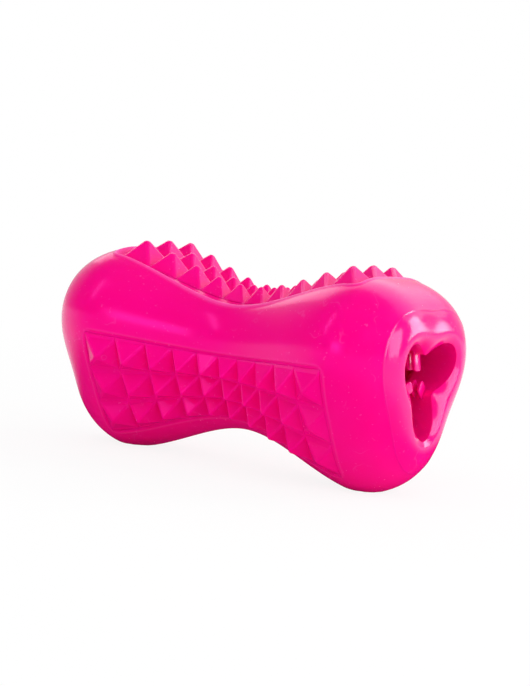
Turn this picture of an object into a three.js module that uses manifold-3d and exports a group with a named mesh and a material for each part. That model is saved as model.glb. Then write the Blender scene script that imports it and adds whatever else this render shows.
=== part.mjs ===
// Bone-shaped treat toy in soft rubber, standing on one of its three lobes.
// A hollow body swells from its waist to three round lobes at each end. A dished cap with
// a three-lobed mouth closes each end, and a panel of chew studs fills each side.
// Millimetres. +X runs along the bone and +Z is up. The origin lies under the middle of
// the toy, on the surface that it rests on.

import * as THREE from 'three';
import { mergeVertices } from 'three/addons/utils/BufferGeometryUtils.js';
import Module from 'manifold-3d';

const wasm = await Module();
wasm.setup();

const { lerp, smoothstep, euclideanModulo } = THREE.MathUtils;

// Outer form: a ridge runs along each lobe, with a flatter side between two ridges
const boneLength = 115;
const waistRidgeRadius = 22;
const endRidgeRadius = 34;
const endSideRadius = 28;
const swellReach = 45; // from the waist to where the lobes are full
const endRoundLength = 21.5; // length of the rounding at each end
const axisHeight = 32.4; // bone axis above the resting surface, a little less than the ridge's reach

// End face: a rounded rim with a dish inside it
const faceRidgeRadius = 18;
const faceSideRadius = 12.5;
const dishDepth = 6.8;

// End caps: a flange outside the seam and a spigot that plugs into the body
const seamInset = 2.5; // seam behind the end plane
const seamLand = 3.5; // width of the flange round the spigot
const capDepth = 13.5; // end plane to the spigot's back
const spigotChamfer = 1;
const mouthLobeRadius = 16;
const mouthSideRadius = 7.5;

// Treat chamber
const chamberWaistRadius = 9;
const shoulderWidth = 2; // step in the body that the spigot seats on

// Stud panels: cells grow from the waist towards the ends
const studColumns = 10;
const studRows = 3;
const waistPitch = 7;
const panelHalfLength = 40;
const rowWidthAtWaist = 6.85;
const rowWidthAtEnd = 11.8;
const tipShare = 0.12; // flat tip as a share of the cell
const padThickness = 2.5; // rubber under the studs, set into the body
const trayFloorMargin = 0.5; // bare floor round the studs
const fitGap = 0.3; // between a piece and its seat
const wallRunout = 0.3; // how far a tray's wall slopes on past the body's surface
const cutClearance = 3; // how far a cut runs out past the body's surface

const coarse = {
  waistSideRadius: 17, // body's side under the panel
  studHeightAtWaist: 5,
  studHeightAtEnd: 5.2,
  recess: 1.5, // tray floor below the body's surface
  rimAtWaist: 5.5, // tray rim outside the studs
  rimAtEnd: 1.8,
  colour: 0xf92c93,
};
const fine = {
  waistSideRadius: 19,
  studHeightAtWaist: 4.7,
  studHeightAtEnd: 5.7,
  recess: 0.6,
  rimAtWaist: 1.1,
  rimAtEnd: 1.1,
  colour: 0xf5127f,
};
const panels = [
  { name: 'coarse_stud_panel', ...coarse },
  { name: 'fine_stud_panel_front', ...fine },
  { name: 'fine_stud_panel_under', ...fine },
];

// Smoothness of the faceted surfaces
const ringPoints = 60;
const bodyStations = 28;
const chamberStations = 12;
const roundingRings = 4;
const dishRings = 5;
const angleSteps = 12; // rounds of the search for an angle across a panel

// Values that follow from the sizes above
const halfLength = boneLength / 2;
const lobeCount = panels.length;
const lobePitch = (2 * Math.PI) / lobeCount;
const bottomLobe = -Math.PI / 2;
const roundStart = halfLength - endRoundLength;
const seamX = halfLength - seamInset;
const capBackX = halfLength - capDepth;
const bodyEndX = seamX - fitGap;
const shoulderX = capBackX - fitGap;

// Section of the bone: angles run from +Y towards +Z, round the axis
const ridgeShare = (angle) => (1 + Math.cos(lobeCount * (angle - bottomLobe))) / 2;
const swell = (x) => smoothstep(Math.abs(x), 0, swellReach);

function lobedRadius(sideRadius, ridgeRadius, angle) {
  return lerp(sideRadius, ridgeRadius, ridgeShare(angle));
}

// The panel on the side that an angle falls in, from one ridge to the next
function panelAt(angle) {
  const turn = euclideanModulo(angle - bottomLobe - lobePitch, 2 * Math.PI);
  return panels[Math.floor(turn / lobePitch) % lobeCount];
}

function outerRadius(x, angle) {
  const side = lerp(panelAt(angle).waistSideRadius, endSideRadius, swell(x));
  const ridge = lerp(waistRidgeRadius, endRidgeRadius, swell(x));
  const roundShare = Math.max(0, Math.abs(x) - roundStart) / endRoundLength;
  const arc = Math.sqrt(Math.max(0, 1 - roundShare ** 2));
  return lerp(faceRadius(angle), lobedRadius(side, ridge, angle), arc);
}

const faceRadius = (angle) => lobedRadius(faceSideRadius, faceRidgeRadius, angle);
const mouthRadius = (angle) => lobedRadius(mouthSideRadius, mouthLobeRadius, angle);
const spigotRadius = (angle) => outerRadius(seamX, angle) - seamLand;
const socketRadius = (angle) => spigotRadius(angle) + fitGap;

function chamberRadius(x, angle) {
  const endRadius = spigotRadius(angle) - shoulderWidth;
  return lerp(chamberWaistRadius, endRadius, smoothstep(Math.abs(x), 0, shoulderX));
}

function dishX(radius, angle) {
  const share = radius / faceRadius(angle);
  return halfLength - dishDepth * (1 - share ** 2) ** 2;
}

const polar = (x, radius, angle) =>
  new THREE.Vector3(x, radius * Math.cos(angle), radius * Math.sin(angle));

// Closed surfaces from four-cornered faces, each counter-clockwise seen from outside
function skin(faces) {
  const corners = faces.flatMap(([a, b, c, d]) => [a, b, c, a, c, d]);
  return mergeVertices(new THREE.BufferGeometry().setFromPoints(corners));
}

function ring(pointAt) {
  return Array.from({ length: ringPoints }, (_, i) => pointAt((2 * Math.PI * i) / ringPoints));
}

const levelRing = (x, radiusAt) => ring((angle) => polar(x, radiusAt(angle), angle));

// Rings that follow each other along the outside and back through the inside
function tubeSkin(rings) {
  const faces = [];
  rings.forEach((from, i) => {
    const to = rings[(i + 1) % rings.length];
    from.forEach((point, j) => {
      const next = (j + 1) % ringPoints;
      faces.push([point, from[next], to[next], to[j]]);
    });
  });
  return skin(faces);
}

function gridFaces(grid) {
  const faces = [];
  for (let i = 0; i + 1 < grid.length; i += 1) {
    for (let j = 0; j + 1 < grid[i].length; j += 1) {
      faces.push([grid[i][j], grid[i][j + 1], grid[i + 1][j + 1], grid[i + 1][j]]);
    }
  }
  return faces;
}

const border = (grid) => [
  ...grid.map((row) => row[0]),
  ...grid.at(-1).slice(1),
  ...grid.slice(0, -1).reverse().map((row) => row.at(-1)),
  ...grid[0].slice(1, -1).reverse(),
];

// A curved slab through grids of points from its bottom to its top, with a given set of top faces
function slabSkin(levels, topFaces = gridFaces(levels.at(-1))) {
  const underside = gridFaces(levels[0]).map((face) => face.reverse());
  const edges = levels.map(border);
  const walls = edges.slice(1).flatMap((upper, level) => {
    const lower = edges[level];
    return upper.map((point, i) => {
      const next = (i + 1) % upper.length;
      return [point, upper[next], lower[next], lower[i]];
    });
  });
  return skin([...underside, ...walls, ...topFaces]);
}

// Solids for joining and cutting
function solidOf(geometry) {
  const mesh = new wasm.Mesh({
    numProp: 3,
    vertProperties: geometry.attributes.position.array,
    triVerts: new Uint32Array(geometry.index.array),
  });
  return new wasm.Manifold(mesh);
}

function geometryOf(solid) {
  const { vertProperties, triVerts } = solid.getMesh();
  const geometry = new THREE.BufferGeometry();
  geometry.setAttribute('position', new THREE.BufferAttribute(vertProperties, 3));
  geometry.setIndex(new THREE.BufferAttribute(triVerts, 1));
  return geometry;
}

// Panel layout: a cell is one column long and one row wide, counted from the middle
function columnX(column) {
  const half = studColumns / 2;
  const growth = panelHalfLength - waistPitch * half;
  return waistPitch * column + growth * (column / half) ** 3;
}

const panelAngle = (index) => bottomLobe + (index + 1.5) * lobePitch;

// Angle from the panel's middle at which the body's surface lies a distance across the panel
function angleAcross(panel, x, across) {
  let offset = across / waistRidgeRadius;
  for (let i = 0; i < angleSteps; i += 1) {
    offset = Math.asin(across / outerRadius(x, panel.angle + offset));
  }
  return offset;
}

// All lifts run the same way, straight out from the middle of the panel
function panelPoint(panel, column, row, lift, margin = 0) {
  const columnEdge = Math.abs(column) === studColumns / 2 ? Math.sign(column) : 0;
  const rowEdge = Math.abs(row) === studRows / 2 ? Math.sign(row) : 0;
  const x = columnX(column) + columnEdge * margin;
  const rowWidth = lerp(rowWidthAtWaist, rowWidthAtEnd, swell(x));
  const angle = panel.angle + angleAcross(panel, x, row * rowWidth + rowEdge * margin);
  return polar(x, outerRadius(x, angle), angle).add(polar(0, lift, panel.angle));
}

// Points over the whole panel, a given number to each cell
function panelGrid(panel, perCell, lift, marginAt) {
  const columnSteps = studColumns * perCell;
  const rowSteps = studRows * perCell;
  return Array.from({ length: columnSteps + 1 }, (_, i) =>
    Array.from({ length: rowSteps + 1 }, (_, j) => {
      const column = i / perCell - studColumns / 2;
      const row = j / perCell - studRows / 2;
      return panelPoint(panel, column, row, lift, marginAt(columnX(column)));
    }),
  );
}

// One stud: four sloping faces up to a small flat tip
function studFaces(panel, base, i, j) {
  const column = i + 0.5 - studColumns / 2;
  const row = j + 0.5 - studRows / 2;
  const height = lerp(panel.studHeightAtWaist, panel.studHeightAtEnd, swell(columnX(column)));
  const halfTip = tipShare / 2;
  const corners = [[0, 0], [0, 1], [1, 1], [1, 0]];
  const foot = corners.map(([u, v]) => base[i + u][j + v]);
  const tip = corners.map(([u, v]) => panelPoint(
    panel,
    column + (2 * u - 1) * halfTip,
    row + (2 * v - 1) * halfTip,
    height - panel.recess,
  ));
  const slopes = corners.map((_, k) => {
    const next = (k + 1) % corners.length;
    return [foot[k], foot[next], tip[next], tip[k]];
  });
  return [...slopes, tip];
}

function studPanel(panel) {
  const flush = () => 0;
  const top = panelGrid(panel, 1, -panel.recess, flush);
  const bottom = panelGrid(panel, 1, -panel.recess - padThickness, flush);
  const studs = [];
  for (let i = 0; i < studColumns; i += 1) {
    for (let j = 0; j < studRows; j += 1) {
      studs.push(...studFaces(panel, top, i, j));
    }
  }
  return slabSkin([bottom, top], studs);
}

// The pad's pocket in the body, and the tray with sloping walls above it
function panelPocket(panel) {
  const grown = () => fitGap;
  const bottom = panelGrid(panel, 1, -panel.recess - padThickness - fitGap, grown);
  const top = panelGrid(panel, 1, cutClearance, grown);
  return solidOf(slabSkin([bottom, top]));
}

function panelTray(panel) {
  const slope = 1 + wallRunout / panel.recess;
  const runoutAt = (x) => {
    const rim = lerp(panel.rimAtWaist, panel.rimAtEnd, swell(x));
    return lerp(trayFloorMargin, rim, slope);
  };
  const floor = panelGrid(panel, 2, -panel.recess, () => trayFloorMargin);
  const runout = panelGrid(panel, 2, wallRunout, runoutAt);
  const top = panelGrid(panel, 2, cutClearance, runoutAt);
  return solidOf(slabSkin([floor, runout, top]));
}

function bodyShell() {
  const outside = Array.from({ length: bodyStations + 1 }, (_, i) => {
    const turn = ((i / bodyStations) * 2 - 1) * (Math.PI / 2);
    const x = bodyEndX * Math.sin(turn); // stations close up towards the ends
    return levelRing(x, (angle) => outerRadius(x, angle));
  });
  const chamber = Array.from({ length: chamberStations + 1 }, (_, i) => {
    const x = shoulderX * (1 - (2 * i) / chamberStations);
    return levelRing(x, (angle) => chamberRadius(x, angle));
  });
  const shell = tubeSkin([
    ...outside,
    levelRing(bodyEndX, socketRadius),
    levelRing(shoulderX, socketRadius),
    ...chamber,
    levelRing(-shoulderX, socketRadius),
    levelRing(-bodyEndX, socketRadius),
  ]);

  const width = 2 * endRidgeRadius;
  const ground = new THREE.BoxGeometry(boneLength, width, width);
  ground.translate(0, 0, -axisHeight - width / 2);
  ground.deleteAttribute('normal');
  ground.deleteAttribute('uv');

  let solid = solidOf(shell).subtract(solidOf(mergeVertices(ground)));
  panels.forEach((panel) => {
    solid = solid.subtract(panelTray(panel)).subtract(panelPocket(panel));
  });
  return geometryOf(solid);
}

function endCap() {
  const startTurn = Math.asin((seamX - roundStart) / endRoundLength);
  const rounding = Array.from({ length: roundingRings + 1 }, (_, i) => {
    const x = roundStart + endRoundLength * Math.sin(lerp(startTurn, Math.PI / 2, i / roundingRings));
    return levelRing(x, (angle) => outerRadius(x, angle));
  });
  const dish = Array.from({ length: dishRings }, (_, i) =>
    ring((angle) => {
      const radius = lerp(faceRadius(angle), mouthRadius(angle), (i + 1) / dishRings);
      return polar(dishX(radius, angle), radius, angle);
    }),
  );
  return tubeSkin([
    levelRing(capBackX, (angle) => spigotRadius(angle) - spigotChamfer),
    levelRing(capBackX + spigotChamfer, spigotRadius),
    levelRing(seamX, spigotRadius),
    ...rounding,
    ...dish,
    levelRing(capBackX, mouthRadius),
  ]);
}

function addPiece(name, geometry, colour) {
  const rubber = new THREE.MeshStandardMaterial({ color: colour, roughness: 0.3, metalness: 0 });
  const mesh = new THREE.Mesh(geometry, rubber);
  mesh.name = name;
  bone.add(mesh);
  return mesh;
}

panels.forEach((panel, index) => {
  panel.angle = panelAngle(index);
});

const bone = new THREE.Group();
addPiece('body_shell', bodyShell(), 0xf2067b);
addPiece('right_end_cap', endCap(), 0xf5218a);
addPiece('left_end_cap', endCap(), 0xf5218a).rotation.z = Math.PI;
panels.forEach((panel) => addPiece(panel.name, studPanel(panel), panel.colour));

const middle = new THREE.Box3().setFromObject(bone).getCenter(new THREE.Vector3());
bone.position.set(-middle.x, -middle.y, axisHeight);

const toy = new THREE.Group();
toy.add(bone);

export default toy;
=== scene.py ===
# Bone-shaped treat toy in glossy pink rubber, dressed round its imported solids
from math import asin, cos, hypot, pi, radians, sin, sqrt

import bmesh
import bpy
from mathutils import Matrix, Vector


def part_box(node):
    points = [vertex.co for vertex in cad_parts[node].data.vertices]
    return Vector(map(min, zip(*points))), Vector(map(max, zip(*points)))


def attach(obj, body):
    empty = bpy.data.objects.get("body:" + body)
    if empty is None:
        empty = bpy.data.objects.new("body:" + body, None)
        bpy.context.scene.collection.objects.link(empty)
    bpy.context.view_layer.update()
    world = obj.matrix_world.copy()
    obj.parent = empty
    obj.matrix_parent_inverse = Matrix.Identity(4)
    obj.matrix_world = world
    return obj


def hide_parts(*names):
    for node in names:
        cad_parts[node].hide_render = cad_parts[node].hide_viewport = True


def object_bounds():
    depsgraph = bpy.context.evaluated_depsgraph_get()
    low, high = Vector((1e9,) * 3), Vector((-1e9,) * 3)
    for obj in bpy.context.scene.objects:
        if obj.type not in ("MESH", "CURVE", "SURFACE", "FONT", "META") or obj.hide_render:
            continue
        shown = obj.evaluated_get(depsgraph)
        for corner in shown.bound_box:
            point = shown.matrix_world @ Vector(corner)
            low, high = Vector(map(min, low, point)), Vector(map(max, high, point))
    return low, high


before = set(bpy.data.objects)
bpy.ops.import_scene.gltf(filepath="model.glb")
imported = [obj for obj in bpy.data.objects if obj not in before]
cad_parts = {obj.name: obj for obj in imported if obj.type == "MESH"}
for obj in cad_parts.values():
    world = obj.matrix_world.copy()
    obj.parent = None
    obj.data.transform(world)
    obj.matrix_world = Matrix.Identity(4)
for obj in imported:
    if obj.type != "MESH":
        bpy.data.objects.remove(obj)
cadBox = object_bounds()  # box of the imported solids

mm = 0.001
hair = 0.01 * mm  # lengths below this don't count
weldReach = 0.0005 * mm
scene = bpy.context.scene
scene.view_settings.view_transform = "Standard"


# Rubber finishes
class Wire:  # a shader socket that takes part in sums
    def __init__(self, tree, socket=None):
        self.tree = tree
        self.socket = socket

    def add(self, kind, settings=None, sockets=None, outlet=0):  # any node, with its settings and inputs
        node = self.tree.nodes.new(kind)
        for name, value in (settings or {}).items():
            setattr(node, name, value)
        for name, value in (sockets or {}).items():
            if isinstance(value, Wire):
                self.tree.links.new(value.socket, node.inputs[name])
            else:
                node.inputs[name].default_value = value
        return Wire(self.tree, node.outputs[outlet] if node.outputs else None)

    def sum(self, operation, first, second):
        return self.add("ShaderNodeMath", {"operation": operation}, {0: first, 1: second})

    def __add__(self, other):
        return self.sum("ADD", self, other)

    def __radd__(self, other):
        return self.sum("ADD", other, self)

    def __sub__(self, other):
        return self.sum("SUBTRACT", self, other)

    def __rsub__(self, other):
        return self.sum("SUBTRACT", other, self)

    def __mul__(self, other):
        return self.sum("MULTIPLY", self, other)

    def __rmul__(self, other):
        return self.sum("MULTIPLY", other, self)

    def __abs__(self):
        return self.add("ShaderNodeMath", {"operation": "ABSOLUTE"}, {0: self})


def newMaterial(name):
    material = bpy.data.materials.new(name)
    material.use_nodes = True
    material.node_tree.nodes.clear()
    return material, Wire(material.node_tree)


rubberLook = {
    "base": (0.98, 0.001, 0.26, 1),
    "deep": (0.94, 0.001, 0.22, 1),  # where the mix is a little thicker
    "filmAndShine": (0.98, 0.08, 0.4, 1),  # pale, dusty film of handling; also the painted highlight along raised lips
    "cloud": (60, 3),  # scale and detail of each noise
    "smear": (140, 4),
    "grain": (900, 2),
    "haze": (32, 6),
    "scuff": (75, 3),
    "fleck": (1100, 1),
    "hazeOnset": (0.5, 0.72),  # noise levels between which a mark sets in
    "scuffOnset": (0.54, 0.64),
    "fleckOnset": (0.7, 0.76),
    "hazeShare": 0.03,
    "scuffShare": 0.25,
    "fleckShare": 0.35,
    "highlightShare": 1.0,  # raised lips are painted pale, a painted highlight
    "scuffWidth": 0.012,
    "grainDepth": 0.01 * mm,
    "grainStrength": 0.2,
    "roughness": 0.14,
    "roughnessSwing": 0.05,
    "wornRoughness": 0.2,
    "specular": 0.5,
    "mirrorTint": (1.0, 0.06, 0.8, 1),  # straight reflections keep the rubber's pink
    "glow": 0.35,  # light that wanders inside the rubber
    "glowReach": (1.0, 0.6, 0.8),
    "glowScale": 0.9 * mm,
}
noiseMiddle = 0.5


def noise(wire, place, pattern):
    scale, detail = pattern
    return wire.add("ShaderNodeTexNoise", None, {"Vector": place, "Scale": scale, "Detail": detail})


def softStep(wire, value, start, end):
    return wire.add("ShaderNodeMapRange", {"interpolation_type": "SMOOTHSTEP"},
                    {"Value": value, "From Min": start, "From Max": end})


def mixColour(wire, share, first, second):
    return wire.add("ShaderNodeMix", {"data_type": "RGBA"}, {0: share, 6: first, 7: second}, outlet=2)


def rubber(name, **changes):
    look = {**rubberLook, **changes}
    material, wire = newMaterial(name)
    place = wire.add("ShaderNodeTexCoord", outlet="Object")
    cloud = noise(wire, place, look["cloud"])
    smear = noise(wire, place, look["smear"])
    grain = noise(wire, place, look["grain"])
    haze = softStep(wire, noise(wire, place, look["haze"]), *look["hazeOnset"])
    fleck = softStep(wire, noise(wire, place, look["fleck"]), *look["fleckOnset"])
    wander = abs(noise(wire, place, look["scuff"]) - noiseMiddle)  # near zero along wavy lines
    scuff = softStep(wire, wander, look["scuffWidth"], 0.0) * softStep(wire, smear, *look["scuffOnset"])
    # painted highlight: pale share along the crests of raised lips, read from a mesh attribute
    crestShine = wire.add("ShaderNodeAttribute", {"attribute_name": "paintedCrestShine"}, outlet="Fac")
    marks = haze * look["hazeShare"] + scuff * look["scuffShare"] + fleck * look["fleckShare"]
    # real marks (haze, scuffs, flecks) and the painted crest highlight share one pale mix
    wearAndShine = wire.sum("MINIMUM", marks + crestShine * look["highlightShare"], 1.0)
    clean = mixColour(wire, cloud, look["deep"], look["base"])
    tint = mixColour(wire, wearAndShine, clean, look["filmAndShine"])
    gloss = look["roughness"] + (smear - noiseMiddle) * look["roughnessSwing"] + wearAndShine * look["wornRoughness"]
    skin = wire.add("ShaderNodeBump", None, {
        "Height": grain + smear,
        "Strength": look["grainStrength"],
        "Distance": look["grainDepth"],
    })
    surface = wire.add("ShaderNodeBsdfPrincipled", {"subsurface_method": "RANDOM_WALK"}, {
        "Base Color": tint,
        "Roughness": gloss,
        "Normal": skin,
        "Specular IOR Level": look["specular"],
        "Specular Tint": look["mirrorTint"],
        "Subsurface Weight": look["glow"],
        "Subsurface Radius": look["glowReach"],
        "Subsurface Scale": look["glowScale"],
    })
    wire.add("ShaderNodeOutputMaterial", None, {"Surface": surface})
    return material


bodyRubber = rubber("body_rubber", roughness=0.2)
capRubber = rubber("end_cap_rubber", mirrorTint=(1.0, 0.6, 0.9, 1))
coarseRubber = rubber("coarse_stud_rubber", roughness=0.24)
fineRubber = rubber("fine_stud_rubber", roughness=0.2)
print("rubber finishes ready")

# Outer form: a ridge along each lobe, a flatter side between two ridges, a stud panel on each side
boneForm = {
    "lobes": 3,
    "bottomLobe": radians(-90),  # angles run from +Y towards +Z, round the bone's axis
    "waistRidge": 22 * mm,
    "endRidge": 34 * mm,
    "endSide": 28 * mm,
    "faceRidge": 18 * mm,
    "faceSide": 12.5 * mm,
    "swellReach": 45 * mm,
    "endRound": 21.5 * mm,
    "axisHeight": 32.4 * mm,
}
panelForm = {
    "columns": 10,
    "rows": 3,
    "waistPitch": 7 * mm,
    "halfLength": 40 * mm,
    "growthPower": 3,  # how late the cells grow towards the ends
    "rowAtWaist": 6.85 * mm,
    "rowAtEnd": 11.8 * mm,
    "flatRow": 8 * mm,  # a row's width while the panel is still flat
    "padThickness": 2.5 * mm,
    "padGap": 0.01 * mm,
    "floorMargin": 0.3 * mm,  # bare floor round the studs
    "endStart": 22 * mm,  # from here the studs change towards the panel's ends
    "footInset": 0.2 * mm,
    "footRise": 0.1 * mm,
    "edgeSegments": 4,
    "tipZone": 0.5,  # upper share of a stud that its blunt tip reaches
}
coarseStuds = {
    "waistSide": 17 * mm,  # body's side under the panel
    "waistHeight": 5.7 * mm,
    "endHeight": 6.0 * mm,
    "endDrop": 0.0,  # share by which the outermost studs are lower
    "rowGap": 0.0,  # share of a row left bare between the outermost studs
    "edgeRound": 0.7 * mm,
    "tipRound": 0.75 * mm,
    "recess": 1.5 * mm,
    "recessAtEnd": 1.5 * mm,
    "rimAtWaist": 5.5 * mm,
    "rimAtEnd": 1.8 * mm,
    "rimRound": 0.3 * mm,
    "cornerRound": 3 * mm,
    "lipHeight": 0.4 * mm,
    "lipWidth": 1.2 * mm,
    # share of painted highlight on the lip's crest
    "lipHighlight": 1.0,
}
fineStuds = {
    "waistSide": 19 * mm,
    "waistHeight": 4.9 * mm,
    "endHeight": 5.9 * mm,
    "endDrop": 0.55,
    "rowGap": 0.2,
    "edgeRound": 0.5 * mm,
    "tipRound": 0.5 * mm,
    "recess": 0.2 * mm,
    "recessAtEnd": 0.06 * mm,
    "rimAtWaist": 1.1 * mm,
    "rimAtEnd": 1.1 * mm,
    "rimRound": 0.5 * mm,
    "cornerRound": 3.2 * mm,
    "lipHeight": 0.08 * mm,
    "lipWidth": 0.5 * mm,
    # share of painted highlight on the lip's crest
    "lipHighlight": 0.18,
}
panels = [
    {"name": "coarseStudPanel", "node": "coarse_stud_panel", "studs": coarseStuds, "slot": "coarse_studs",
     "rubber": coarseRubber},
    {"name": "fineStudPanelFront", "node": "fine_stud_panel_front", "studs": fineStuds, "slot": "fine_studs",
     "rubber": fineRubber},
    {"name": "fineStudPanelUnder", "node": "fine_stud_panel_under", "studs": fineStuds, "slot": "fine_studs",
     "rubber": fineRubber},
]
lobePitch = 2 * pi / boneForm["lobes"]
for index, panel in enumerate(panels):
    panel["angle"] = boneForm["bottomLobe"] + (index + 1.5) * lobePitch
halfLength = cadBox[1].x
capLow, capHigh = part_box("right_end_cap")
axisY = (capLow.y + capHigh.y) / 2
anglePasses = 10


def between(start, end, share):
    return start + (end - start) * share


def ease(value, reach):  # 0 to 1 with soft ends
    share = min(max(value / reach, 0), 1)
    return share * share * (3 - 2 * share)


def swell(x):
    return ease(abs(x), boneForm["swellReach"])


def lobed(side, ridge, offset):  # by the angle from the middle of a side
    return between(side, ridge, (1 - cos(boneForm["lobes"] * offset)) / 2)


def sideRadius(studs, x, offset):
    side = between(studs["waistSide"], boneForm["endSide"], swell(x))
    ridge = between(boneForm["waistRidge"], boneForm["endRidge"], swell(x))
    roundStart = halfLength - boneForm["endRound"]
    roundShare = max(0, abs(x) - roundStart) / boneForm["endRound"]
    arc = sqrt(max(0, 1 - roundShare**2))
    face = lobed(boneForm["faceSide"], boneForm["faceRidge"], offset)
    return between(face, lobed(side, ridge, offset), arc)


def axisPoint(x, radius, angle):
    z = max(boneForm["axisHeight"] + radius * sin(angle), 0)  # flat where it stands
    return Vector((x, axisY + radius * cos(angle), z))


def sidePoint(panel, x, offset, lift):  # every lift runs straight out from the middle of the side
    point = axisPoint(x, sideRadius(panel["studs"], x, offset), panel["angle"] + offset)
    return point + lift * Vector((0, cos(panel["angle"]), sin(panel["angle"])))


def angleAcross(studs, x, across):  # angle at which the surface lies that far across a side
    offset = across / boneForm["waistRidge"]
    for _ in range(anglePasses):
        offset = asin(across / sideRadius(studs, x, offset))
    return offset


def closedTube(columns, rows, place):  # a grid bent into a ring both ways, its seams merged
    tube = bmesh.new()
    bmesh.ops.create_grid(tube, x_segments=columns, y_segments=rows, size=0.5)
    station = tube.verts.layers.int.new("station")
    # per-point share of painted highlight along raised lips
    shineLayer = tube.verts.layers.float.new("paintedCrestShine")
    for vert in tube.verts:
        column = round((vert.co.x + 0.5) * columns) % columns
        row = round((vert.co.y + 0.5) * rows) % rows
        vert[station] = column
        vert.co, vert[shineLayer] = place(column, row)
    bmesh.ops.remove_doubles(tube, verts=tube.verts[:], dist=weldReach)
    bmesh.ops.recalc_face_normals(tube, faces=tube.faces[:])
    return tube


def roundEdges(shape, edges, width, segments):
    return bmesh.ops.bevel(shape, geom=edges, offset=width, offset_type="OFFSET", segments=segments,
                           profile=0.5, affect="EDGES", material=-1, clamp_overlap=True)


def ringEdges(tube, column):  # the edge ring at one station
    station = tube.verts.layers.int["station"]
    return [edge for edge in tube.edges if all(vert[station] == column for vert in edge.verts)]


def finishPiece(shape, name, node, material):
    mesh = bpy.data.meshes.new(name)
    shape.to_mesh(mesh)
    shape.free()
    piece = bpy.data.objects.new(name, mesh)
    scene.collection.objects.link(piece)
    mesh.materials.append(material)
    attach(piece, "root")
    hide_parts(node)
    print(name, len(mesh.polygons), "faces")


# Stud panels
def columnX(column):  # cells grow from the waist towards the ends
    half = panelForm["columns"] / 2
    growth = panelForm["halfLength"] - panelForm["waistPitch"] * half
    return panelForm["waistPitch"] * column + growth * (column / half) ** panelForm["growthPower"]


def rowWidth(x):
    return between(panelForm["rowAtWaist"], panelForm["rowAtEnd"], swell(x))


def endShare(x):
    start = panelForm["endStart"]
    return ease(abs(x) - start, panelForm["halfLength"] - start)


def studHeight(studs, x):
    full = between(studs["waistHeight"], studs["endHeight"], swell(x))
    return full * (1 - studs["endDrop"] * endShare(x))


def recessAt(studs, x):
    return between(studs["recess"], studs["recessAtEnd"], endShare(x))


def studPanel(panel):
    studs = panel["studs"]
    columns = panelForm["columns"]
    rows = panelForm["rows"]
    shape = bmesh.new()

    def flatGrid(height):
        made = bmesh.ops.create_grid(shape, x_segments=columns, y_segments=rows, size=0.5)["verts"]
        for vert in made:
            x = columnX(vert.co.x * columns)
            vert.co = Vector((x, vert.co.y * rows * panelForm["flatRow"], height))

    flatGrid(0)
    cells = shape.faces[:]
    bmesh.ops.inset_individual(shape, faces=cells, thickness=panelForm["footInset"], depth=0,
                               use_even_offset=True)
    for cell in cells:  # rows stand apart towards the ends
        middle = cell.calc_center_median()
        narrowing = 1 - studs["rowGap"] * swell(middle.x)
        for vert in cell.verts:
            vert.co.y = between(middle.y, vert.co.y, narrowing)
            vert.co.z = panelForm["footRise"]
    tips = bmesh.ops.poke(shape, faces=cells)["verts"]
    for tip in tips:
        tip.co.z = studHeight(studs, tip.co.x)
    peaks = [tip.co.copy() for tip in tips]
    slopeEdges = [edge for tip in tips for edge in tip.link_edges]
    rounded = roundEdges(shape, slopeEdges, studs["edgeRound"], panelForm["edgeSegments"])
    roundFaces = set(rounded["faces"])
    for face in shape.faces:
        face.smooth = face in roundFaces
    for vert in shape.verts:  # blunt each tip
        peak = min(peaks, key=lambda place: hypot(place.x - vert.co.x, place.y - vert.co.y))
        drop = peak.z - vert.co.z
        if drop < peak.z * panelForm["tipZone"]:
            vert.co.z = peak.z - hypot(drop, studs["tipRound"])
    flatGrid(-panelForm["padThickness"])
    bmesh.ops.bridge_loops(shape, edges=[edge for edge in shape.edges if edge.is_boundary])
    for vert in shape.verts:
        x, across, lift = vert.co
        offset = angleAcross(studs, x, across / panelForm["flatRow"] * rowWidth(x))
        vert.co = sidePoint(panel, x, offset, lift - recessAt(studs, x))
    bmesh.ops.recalc_face_normals(shape, faces=shape.faces[:])
    return shape


# End caps
endForm = {
    "dishDepth": 2.8 * mm,  # how far the face has curved in at the span below
    "dishSpan": 5 * mm,
    "dishPower": 1.35,
    "seamInset": 2.5 * mm,
    "seamLand": 3.5 * mm,
    "seamGap": 0.02 * mm,
    "beadHeight": 0.12 * mm,  # fine raised line along the seam
    "beadWidth": 0.25 * mm,
    "capDepth": 13.5 * mm,
    "spigotChamfer": 1 * mm,
    "mouthLobe": 16.3 * mm,
    "mouthSide": 7.4 * mm,
    "mouthRound": 0.6 * mm,
    "mouthSegments": 6,
    "shoulder": 2 * mm,
    "ringPoints": 240,
    "roundStations": 24,
    "roundPower": 1.5,  # rings lie closer together at the seam
    "dishStations": 20,
    "wallStations": 8,
}
tabForm = {  # soft tabs inside the mouth that hold a treat back
    "depths": (6 * mm, 8.2 * mm),
    "width": 3.6 * mm,
    "thickness": 0.8 * mm,
    "root": 8.2 * mm,
    "tip": 2.5 * mm,
    "tilt": radians(11),  # tips lean outwards
    "cornerRound": 1.1 * mm,
    "cornerSegments": 6,
    "edgeRound": 0.2 * mm,
    "edgeSegments": 2,
    "sharpAngle": radians(60),  # edges sharper than this get the small round
}
seamX = halfLength - endForm["seamInset"]
capBackX = halfLength - endForm["capDepth"]


def endRadius(x, angle):  # beyond the studs all three sides are alike
    return sideRadius(coarseStuds, x, angle - panels[0]["angle"])


def faceRadius(angle):
    return lobed(boneForm["faceSide"], boneForm["faceRidge"], angle - panels[0]["angle"])


def mouthRadius(angle):
    return lobed(endForm["mouthSide"], endForm["mouthLobe"], angle - panels[0]["angle"])


def spigotRadius(angle):
    return endRadius(seamX, angle) - endForm["seamLand"]


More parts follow.
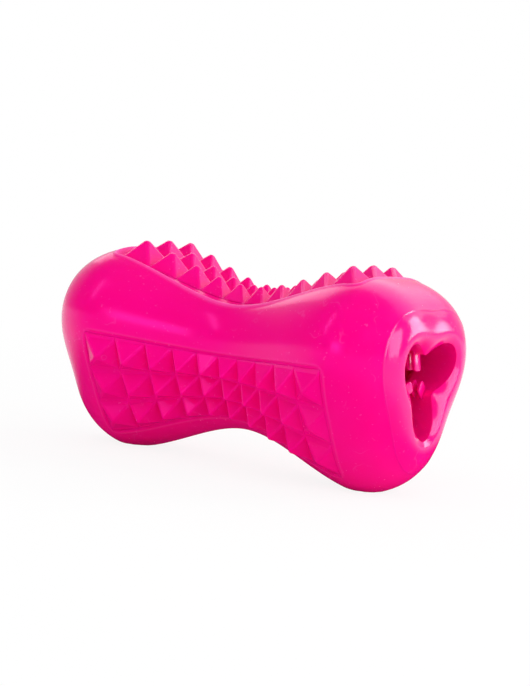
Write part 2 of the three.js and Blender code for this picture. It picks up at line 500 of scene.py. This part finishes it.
def dishX(radius, angle):
    inwards = (faceRadius(angle) - radius) / endForm["dishSpan"]
    return halfLength - endForm["dishDepth"] * inwards ** endForm["dishPower"]


def seamBead(x):
    return endForm["beadHeight"] * (1 - ease(abs(abs(x) - seamX), endForm["beadWidth"]))


def mouthTab():  # a flat tongue that points down from its root
    shape = bmesh.new()
    root = tabForm["root"]
    tip = tabForm["tip"]
    size = Matrix.Diagonal((tabForm["thickness"], tabForm["width"], root - tip, 1))
    bmesh.ops.create_cube(shape, size=1, matrix=Matrix.Translation((0, 0, (root + tip) / 2)) @ size)

    def isTipCorner(edge):
        first, second = (vert.co for vert in edge.verts)
        return max(first.z, second.z) < tip + hair and abs(first.y - second.y) < hair

    corners = [edge for edge in shape.edges if isTipCorner(edge)]
    roundEdges(shape, corners, tabForm["cornerRound"], tabForm["cornerSegments"])
    sharp = [edge for edge in shape.edges if edge.calc_face_angle(0) > tabForm["sharpAngle"]]
    roundEdges(shape, sharp, tabForm["edgeRound"], tabForm["edgeSegments"])
    mesh = bpy.data.meshes.new("mouthTab")
    shape.to_mesh(mesh)
    shape.free()
    return mesh


def addTabs(shape, side):
    for panel in panels:
        for depth in tabForm["depths"]:
            tab = mouthTab()
            turn = Matrix.Rotation(panel["angle"] - pi / 2, 4, "X")
            lean = Matrix.Translation((0, 0, tabForm["root"]))
            lean @= Matrix.Rotation(-side * tabForm["tilt"], 4, "Y")
            lean @= Matrix.Translation((0, 0, -tabForm["root"]))
            shift = Matrix.Translation((side * (halfLength - depth), axisY, boneForm["axisHeight"]))
            tab.transform(shift @ turn @ lean)
            shape.from_mesh(tab)
            bpy.data.meshes.remove(tab)


def endCap(side):
    roundStart = halfLength - boneForm["endRound"]
    startTurn = asin((seamX - roundStart) / boneForm["endRound"])
    roundCount = endForm["roundStations"]
    dishCount = endForm["dishStations"]
    wallCount = endForm["wallStations"]

    def backRing(angle):
        return capBackX, spigotRadius(angle) - endForm["spigotChamfer"]

    def chamferRing(angle):
        return capBackX + endForm["spigotChamfer"], spigotRadius(angle)

    def landRing(angle):
        return seamX, spigotRadius(angle)

    def roundRingAt(share):
        turn = between(startTurn, pi / 2, share ** endForm["roundPower"])
        x = roundStart + boneForm["endRound"] * sin(turn)
        return lambda angle: (x, endRadius(x, angle) + seamBead(x))

    def dishRingAt(share):
        def place(angle):
            radius = between(faceRadius(angle), mouthRadius(angle), share)
            return dishX(radius, angle), radius
        return place

    def wallRingAt(share):
        def place(angle):
            radius = mouthRadius(angle)
            return between(dishX(radius, angle), capBackX, share), radius
        return place

    rings = [backRing, chamferRing, landRing]
    rings += [roundRingAt(i / roundCount) for i in range(roundCount + 1)]
    rings += [dishRingAt((i + 1) / dishCount) for i in range(dishCount)]
    mouthEdge = len(rings) - 1
    rings += [wallRingAt((i + 1) / wallCount) for i in range(wallCount)]
    points = endForm["ringPoints"]

    def place(column, row):
        angle = 2 * pi * row / points
        x, radius = rings[column](angle)
        return axisPoint(side * x, radius, angle), 0.0

    shape = closedTube(len(rings), points, place)
    roundEdges(shape, ringEdges(shape, mouthEdge), endForm["mouthRound"], endForm["mouthSegments"])
    addTabs(shape, side)
    for face in shape.faces:
        face.smooth = True
    return shape


# Body
bodyForm = {
    "chamberWaist": 9 * mm,
    "fieldLines": 14,
    "wallLines": 10,
    "rimLines": 6,
    "rimBand": 1.3 * mm,
    "ridgeLines": 12,
    "waistStep": 1.0 * mm,
    "trayStep": 0.2 * mm,
    "trayRun": 3.2 * mm,
    "lobeStep": 0.8 * mm,
    "seamStep": 0.1 * mm,
    "chamberStations": 16,
}
bodyEndX = seamX - endForm["seamGap"]
shoulderX = capBackX - endForm["seamGap"]
pocketHalf = panelForm["halfLength"] + panelForm["padGap"]


def fieldHalf(x):
    return panelForm["rows"] / 2 * rowWidth(x)


def rimMargin(studs, x):
    return between(studs["rimAtWaist"], studs["rimAtEnd"], swell(x))


def lineSpots(studs, x):  # angle and distance across of the grid lines from a side's middle to its ridge
    field = fieldHalf(x)
    rim = rimMargin(studs, x)
    pocket = field + panelForm["padGap"]
    fieldLines = bodyForm["fieldLines"]
    wallLines = bodyForm["wallLines"]
    rimLines = bodyForm["rimLines"]
    ridgeLines = bodyForm["ridgeLines"]
    spots = [(pocket - hair) * i / fieldLines for i in range(fieldLines + 1)]
    spots += [field + rim - (field + rim - pocket) * (1 - i / wallLines) ** 2 for i in range(wallLines + 1)]
    spots += [field + rim + bodyForm["rimBand"] * ((i + 1) / rimLines) ** 2 for i in range(rimLines)]
    lines = [(angleAcross(studs, x, across), across) for across in spots]
    rimEnd, lastAcross = lines[-1]
    farAcross = 2 * lastAcross  # well outside the tray
    lines += [(between(rimEnd, lobePitch / 2, (i + 1) / ridgeLines), farAcross) for i in range(ridgeLines)]
    return lines


def beyondStuds(x, distance):  # along the bone, then across it
    return abs(x) - panelForm["halfLength"], distance - fieldHalf(x)


def insideTray(studs, x, distance):  # how far inside the tray's rounded border
    along, across = beyondStuds(x, distance)
    cornerRound = studs["cornerRound"]
    cornerX = along - rimMargin(studs, x) + cornerRound
    cornerY = across - rimMargin(studs, x) + cornerRound
    return cornerRound - hypot(max(cornerX, 0), max(cornerY, 0)) - min(max(cornerX, cornerY), 0)


def lipShare(studs, x, distance):  # 1 on the crest of the raised lip
    inside = insideTray(studs, x, distance)
    return max(0, 1 - (inside / studs["lipWidth"]) ** 2) ** 2


def trayDepth(studs, x, distance):
    if max(beyondStuds(x, distance)) < panelForm["padGap"] - hair / 2:
        return recessAt(studs, x) + panelForm["padThickness"] + panelForm["padGap"]
    inside = insideTray(studs, x, distance)
    lip = studs["lipHeight"] * lipShare(studs, x, distance)
    rimRound = studs["rimRound"]
    if inside < -rimRound:
        return -lip
    if inside < rimRound:
        inside = (inside + rimRound) ** 2 / (4 * rimRound)
    share = min(inside / (rimMargin(studs, x) - panelForm["floorMargin"]), 1)
    return recessAt(studs, x) * (1 - (1 - share) ** 2) - lip


def halfStations():  # from the waist to the seam, close together round the tray's end and at the seam
    waistCount = round(pocketHalf / bodyForm["waistStep"])
    stations = [(pocketHalf - hair) * i / waistCount for i in range(waistCount + 1)]
    trayCount = round(bodyForm["trayRun"] / bodyForm["trayStep"])
    stations += [pocketHalf + bodyForm["trayRun"] * i / trayCount for i in range(trayCount + 1)]
    start = stations[-1]
    beadStart = bodyEndX - endForm["beadWidth"]
    lobeCount = round((beadStart - start) / bodyForm["lobeStep"])
    stations += [between(start, beadStart, (i + 1) / lobeCount) for i in range(lobeCount)]
    beadCount = round(endForm["beadWidth"] / bodyForm["seamStep"])
    stations += [between(beadStart, bodyEndX, (i + 1) / beadCount) for i in range(beadCount)]
    return stations


def socketRadius(angle):
    return spigotRadius(angle) + endForm["seamGap"]


def chamberRadius(x, angle):
    outer = spigotRadius(angle) - endForm["shoulder"]
    return between(bodyForm["chamberWaist"], outer, ease(abs(x), shoulderX))


def bodyShell():
    half = halfStations()
    outside = [-x for x in reversed(half[1:])] + half
    chamberCount = bodyForm["chamberStations"]
    chamber = [shoulderX * (1 - 2 * i / chamberCount) for i in range(chamberCount + 1)]
    stations = [(x, "outside") for x in outside]
    stations += [(bodyEndX, "socket"), (shoulderX, "socket")]
    stations += [(x, "chamber") for x in chamber]
    stations += [(-shoulderX, "socket"), (-bodyEndX, "socket")]
    spots = [[lineSpots(panel["studs"], x) for panel in panels] for x, _ in stations]
    halfLines = len(spots[0][0]) - 1
    sectorLines = 2 * halfLines

    def place(column, row):
        x, surface = stations[column]
        index = row // sectorLines
        panel = panels[index]
        line = row % sectorLines - halfLines
        offset, across = spots[column][index][abs(line)]
        if line < 0:
            offset = -offset
        angle = panel["angle"] + offset
        if surface == "socket":
            return axisPoint(x, socketRadius(angle), angle), 0.0
        if surface == "chamber":
            return axisPoint(x, chamberRadius(x, angle), angle), 0.0
        studs = panel["studs"]
        point = sidePoint(panel, x, offset, seamBead(x) - trayDepth(studs, x, across))
        # each point also carries its share of painted highlight on the lip's crest
        return point, studs["lipHighlight"] * lipShare(studs, x, across)

    shape = closedTube(len(stations), len(panels) * sectorLines, place)
    for face in shape.faces:
        face.smooth = True
    return shape


finishPiece(bodyShell(), "bodyShell", "body_shell", bodyRubber)
finishPiece(endCap(1), "rightEndCap", "right_end_cap", capRubber)
finishPiece(endCap(-1), "leftEndCap", "left_end_cap", capRubber)
for panel in panels:
    finishPiece(studPanel(panel), panel["name"], panel["node"], panel["rubber"])

# Floor, light and camera
white = (1, 1, 1, 1)
stageLook = {
    "floorHalf": 4.0,
    "floorColour": (0.92, 0.92, 0.92, 1),
    "nearWhite": 0.88,  # share of plain white in the floor beside the toy
    "fadeStart": 0.08,  # it turns all white away from the toy
    "fadeReach": 0.4,
    "lampDistance": 0.9,
    "worldLevel": 0.43,
    "roomLevel": 0.05,  # mirrored level of the dim room behind the camera
    "roomEnd": 0.2,  # up to here, as a share of the way to the backdrop
    "backdropLevel": 0.7,
    "mirroredFloor": (0.3, 0.01, 0.1, 1),  # floor beside the toy, pink with its bounced light
    "mirrorReach": 0.14,  # from here on the mirrored floor is white
}


def rays(wire):  # camera rays, then mirror and see-through rays
    camera = wire.add("ShaderNodeLightPath", outlet="Is Camera Ray")
    glossy = wire.add("ShaderNodeLightPath", outlet="Is Glossy Ray")
    clear = wire.add("ShaderNodeLightPath", outlet="Is Transmission Ray")
    return camera, wire.sum("MINIMUM", glossy + clear, 1.0)


def floorMaterial():
    material, wire = newMaterial("pale_floor")
    place = wire.add("ShaderNodeTexCoord", outlet="Object")
    distance = wire.add("ShaderNodeVectorMath", {"operation": "LENGTH"}, {0: place}, outlet="Value")
    fade = softStep(wire, distance, stageLook["fadeStart"], stageLook["fadeReach"])
    away = softStep(wire, distance, stageLook["fadeStart"], stageLook["mirrorReach"])
    camera, mirror = rays(wire)
    shown = mixColour(wire, camera + mirror * away, stageLook["mirroredFloor"], white)
    plain = wire.add("ShaderNodeEmission", None, {"Color": shown, "Strength": 1.0})
    matt = wire.add("ShaderNodeBsdfDiffuse", None, {"Color": stageLook["floorColour"]})
    plainShare = camera * between(stageLook["nearWhite"], 1, fade) + mirror
    mixed = wire.add("ShaderNodeMixShader", None, {0: plainShare, 1: matt, 2: plain})
    wire.add("ShaderNodeOutputMaterial", None, {"Surface": mixed})
    return material


def addFloor():
    shape = bmesh.new()
    bmesh.ops.create_grid(shape, x_segments=1, y_segments=1, size=stageLook["floorHalf"])
    mesh = bpy.data.meshes.new("floor")
    shape.to_mesh(mesh)
    shape.free()
    mesh.materials.append(floorMaterial())
    floor = bpy.data.objects.new("floor", mesh)
    scene.collection.objects.link(floor)


softboxes = [  # degrees, with headings from +Y towards +X
    {"name": "topSoftbox", "heading": 160, "height": 60,
     "size": (0.9, 0.9), "power": 2.5, "mirrored": False},
    {"name": "rightFill", "heading": 122, "height": 28,
     "size": (0.4, 0.3), "power": 0.8, "mirrored": False},
    {"name": "backSoftbox", "heading": -10, "height": 44,
     "size": (1.9, 0.62), "power": 4.0, "mirrored": True},
    {"name": "sideStrip", "heading": 37, "height": 16,
     "size": (0.24, 0.4), "power": 1.8, "mirrored": True},
    {"name": "rightSoftbox", "heading": 77, "height": 14,
     "size": (0.45, 0.42), "power": 2.9, "mirrored": True},
    {"name": "frontSoftbox", "heading": 178, "height": 6,
     "size": (0.28, 0.2), "power": 1.0, "mirrored": True},
    {"name": "frontStrip", "heading": -150, "height": 37,
     "size": (0.04, 0.5), "power": 0.6, "mirrored": True},
]


def addLights():
    middle = Vector((0, axisY, boneForm["axisHeight"]))
    for box in softboxes:
        lamp = bpy.data.lights.new(box["name"], "AREA")
        lamp.shape = "RECTANGLE"
        lamp.size, lamp.size_y = box["size"]
        lamp.energy = box["power"]
        heading = radians(box["heading"])
        height = radians(box["height"])
        towards = Vector((sin(heading) * cos(height), cos(heading) * cos(height), sin(height)))
        light = bpy.data.objects.new(box["name"], lamp)
        light.location = middle + towards * stageLook["lampDistance"]
        light.rotation_euler = towards.to_track_quat("Z", "Y").to_euler()
        light.visible_camera = False
        light.visible_glossy = box["mirrored"]
        scene.collection.objects.link(light)


photoView = {  # the photograph's viewpoint, worked out from the toy's outline
    "imageHeight": 686,
    "azimuth": radians(33.073),
    "elevation": radians(5.36),
    "roll": radians(-5.709),
    "distance": 495.682 * mm,
    "focalPixels": 1698.596,
    "middlePixels": (-7.556, 12.179),  # where the toy's middle lies from the image's middle
    "sensor": 36.0,
    "clipStart": 0.01,
}


def addWorld():
    world = bpy.data.worlds.new("studio")
    world.use_nodes = True
    world.node_tree.nodes.clear()
    wire = Wire(world.node_tree)
    direction = wire.add("ShaderNodeTexCoord", outlet="Generated")
    away = (-sin(photoView["azimuth"]), cos(photoView["azimuth"]), 0)
    behind = wire.add("ShaderNodeVectorMath", {"operation": "DOT_PRODUCT"}, {0: direction, 1: away},
                      outlet="Value")
    facing = softStep(wire, behind, stageLook["roomEnd"], 1.0)
    backdrop = between(stageLook["roomLevel"], stageLook["backdropLevel"], facing)
    camera, mirror = rays(wire)
    plain = stageLook["worldLevel"]
    level = plain + camera * (1 - plain) + mirror * (backdrop - plain)
    sky = wire.add("ShaderNodeBackground", None, {"Color": white, "Strength": level})
    wire.add("ShaderNodeOutputWorld", None, {"Surface": sky})
    scene.world = world


def addCamera():
    view = photoView
    back = Vector((sin(view["azimuth"]) * cos(view["elevation"]),
                   -cos(view["azimuth"]) * cos(view["elevation"]), sin(view["elevation"])))
    level = Vector((cos(view["azimuth"]), sin(view["azimuth"]), 0))
    rise = back.cross(level)
    right = cos(view["roll"]) * level - sin(view["roll"]) * rise
    up = sin(view["roll"]) * level + cos(view["roll"]) * rise
    lens = bpy.data.cameras.new("photoCamera")
    lens.sensor_width = view["sensor"]
    lens.lens = view["sensor"] * view["focalPixels"] / view["imageHeight"]
    lens.shift_x = -view["middlePixels"][0] / view["imageHeight"]
    lens.shift_y = view["middlePixels"][1] / view["imageHeight"]
    lens.clip_start = view["clipStart"]
    camera = bpy.data.objects.new("photoCamera", lens)
    turn = Matrix((right, up, back)).transposed().to_4x4()
    middle = Vector((0, axisY, boneForm["axisHeight"]))
    camera.matrix_world = Matrix.Translation(middle + back * view["distance"]) @ turn
    scene.collection.objects.link(camera)
    scene.camera = camera


addFloor()
addLights()
addWorld()
addCamera()
print("stage, light and camera ready")
